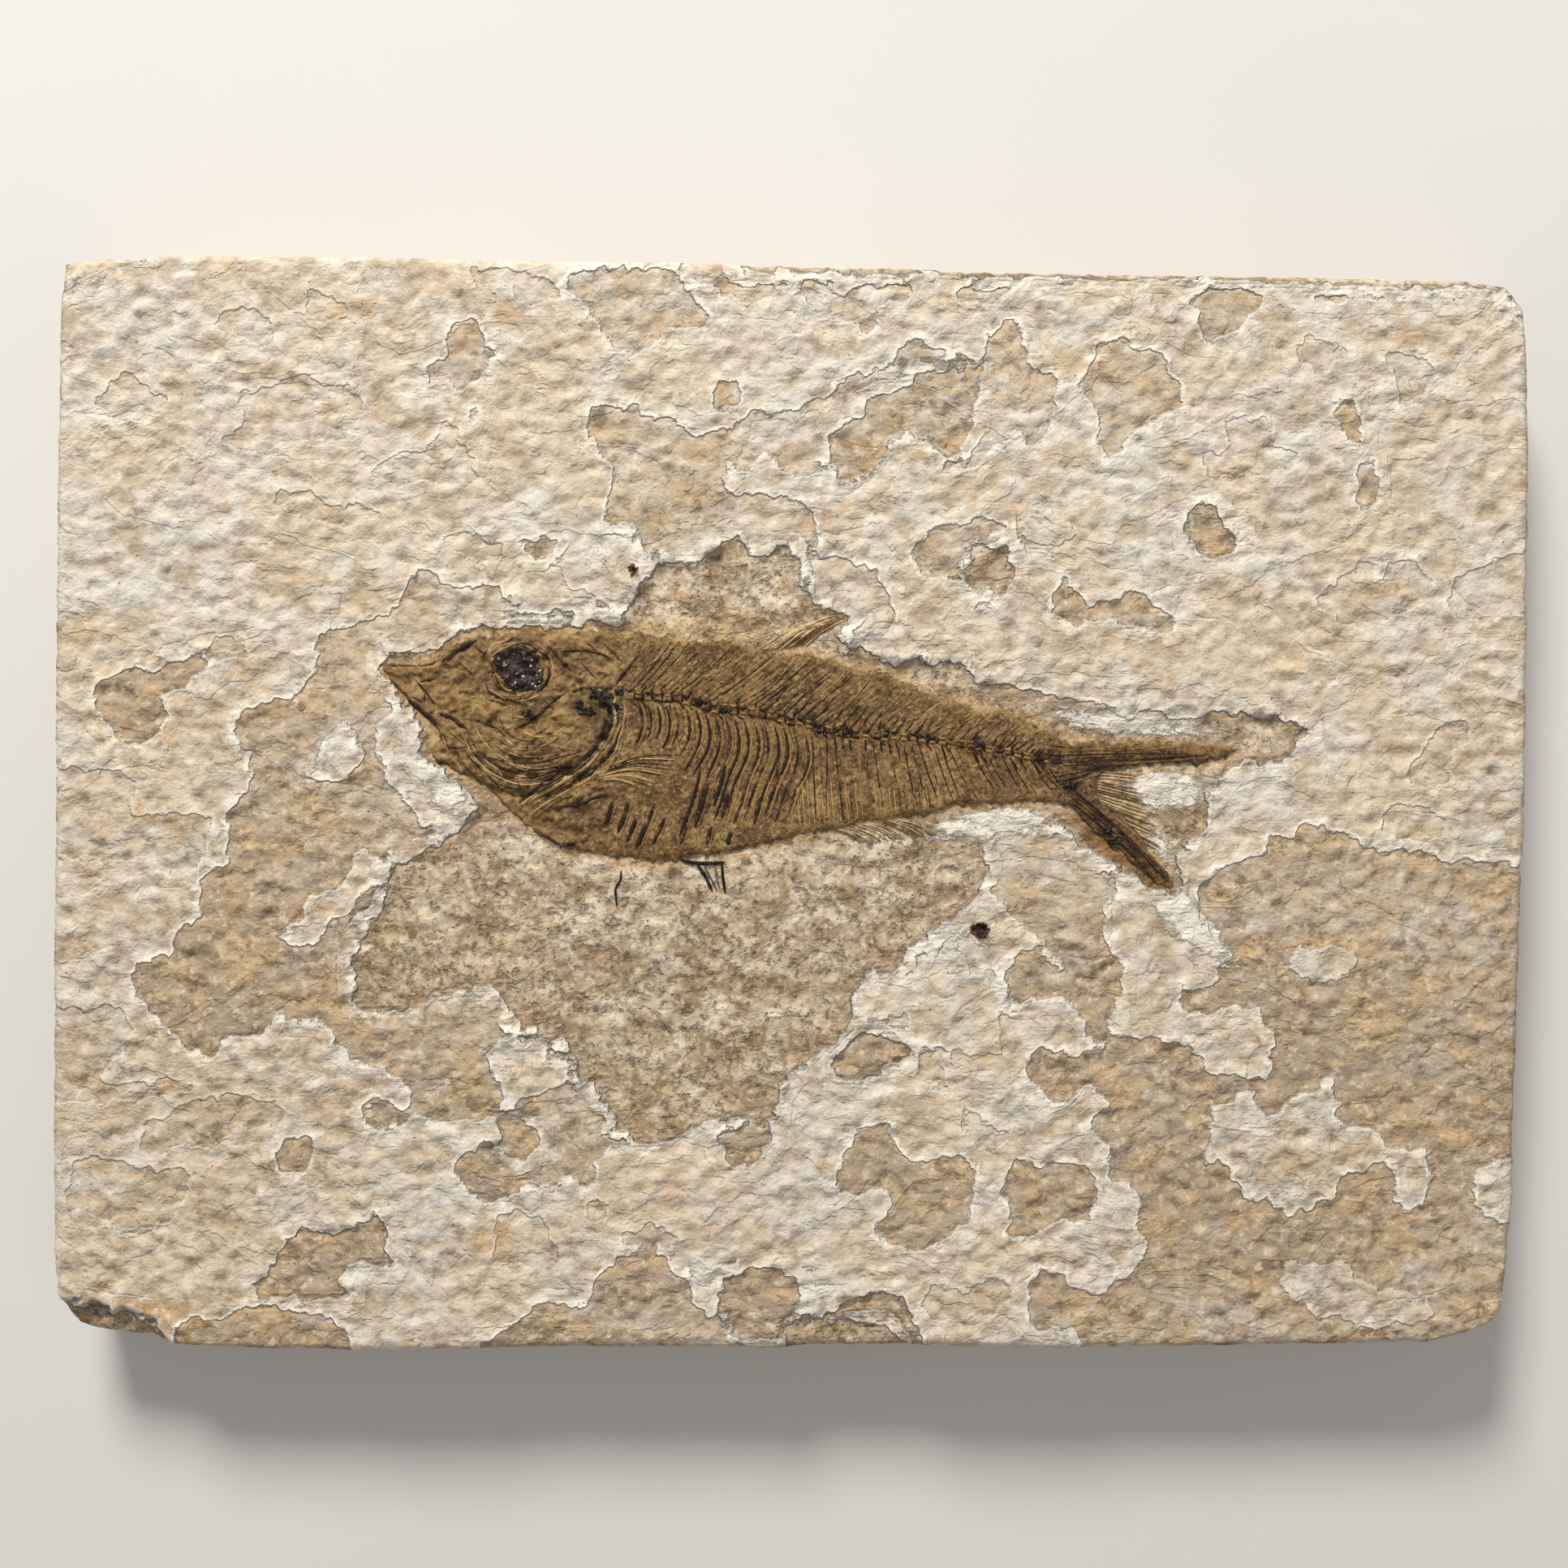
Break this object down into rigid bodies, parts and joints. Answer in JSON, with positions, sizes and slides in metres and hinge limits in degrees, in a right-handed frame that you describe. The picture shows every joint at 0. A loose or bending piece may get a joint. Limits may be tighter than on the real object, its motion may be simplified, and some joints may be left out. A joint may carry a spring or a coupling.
{
  "type": "fossil fish slab",
  "caption": "Rectangular slab of flaky pale limestone with a small brown fossil fish in side view on a shallow bedding plane in its face.",
  "frame": {"origin": "middle of the slab's flat back", "axes": "+Z out of the fossil's face, +X towards the fish's tail along the slab's length, +Y towards the fish's back"},
  "size_m": [0.1274, 0.0946, 0.01],
  "materials": {
    "stone": "matte split limestone with brown layers",
    "fish_film": "matte brown fossil film",
    "bone": "dark brown fossil bone, slight sheen",
    "dark_bone": "near-black fossil bone, satin",
    "pale_fin": "thin tan fossil film, matte"
  },
  "bodies": {
    "root": {"limestone_slab": "stone", "skull": "fish_film", "body_film": "fish_film", "shoulder_girdle": "bone", "eye": "dark_bone", "backbone": "bone", "pectoral_fin": "bone", "dorsal_fin": "pale_fin", "anal_fin": "pale_fin", "pelvic_fin": "dark_bone", "tail_fin_upper": "fish_film", "tail_fin_lower": "fish_film", "loose_ray": "dark_bone", "bone_chip_upper": "dark_bone", "bone_chip_lower": "dark_bone", "rib_1": "bone", "rib_2": "bone", "rib_3": "bone", "rib_4": "bone", "rib_5": "bone", "rib_6": "bone", "rib_7": "bone", "rib_8": "bone", "rib_9": "bone", "rib_10": "bone", "rib_11": "bone", "rib_12": "bone", "rib_13": "bone", "rib_14": "bone", "rib_15": "bone", "rib_16": "bone", "rib_17": "bone", "belly_rib_1": "bone", "belly_rib_2": "bone", "belly_rib_3": "bone", "belly_rib_4": "bone", "belly_rib_5": "bone", "belly_rib_6": "bone"}
  },
  "joints": []
}
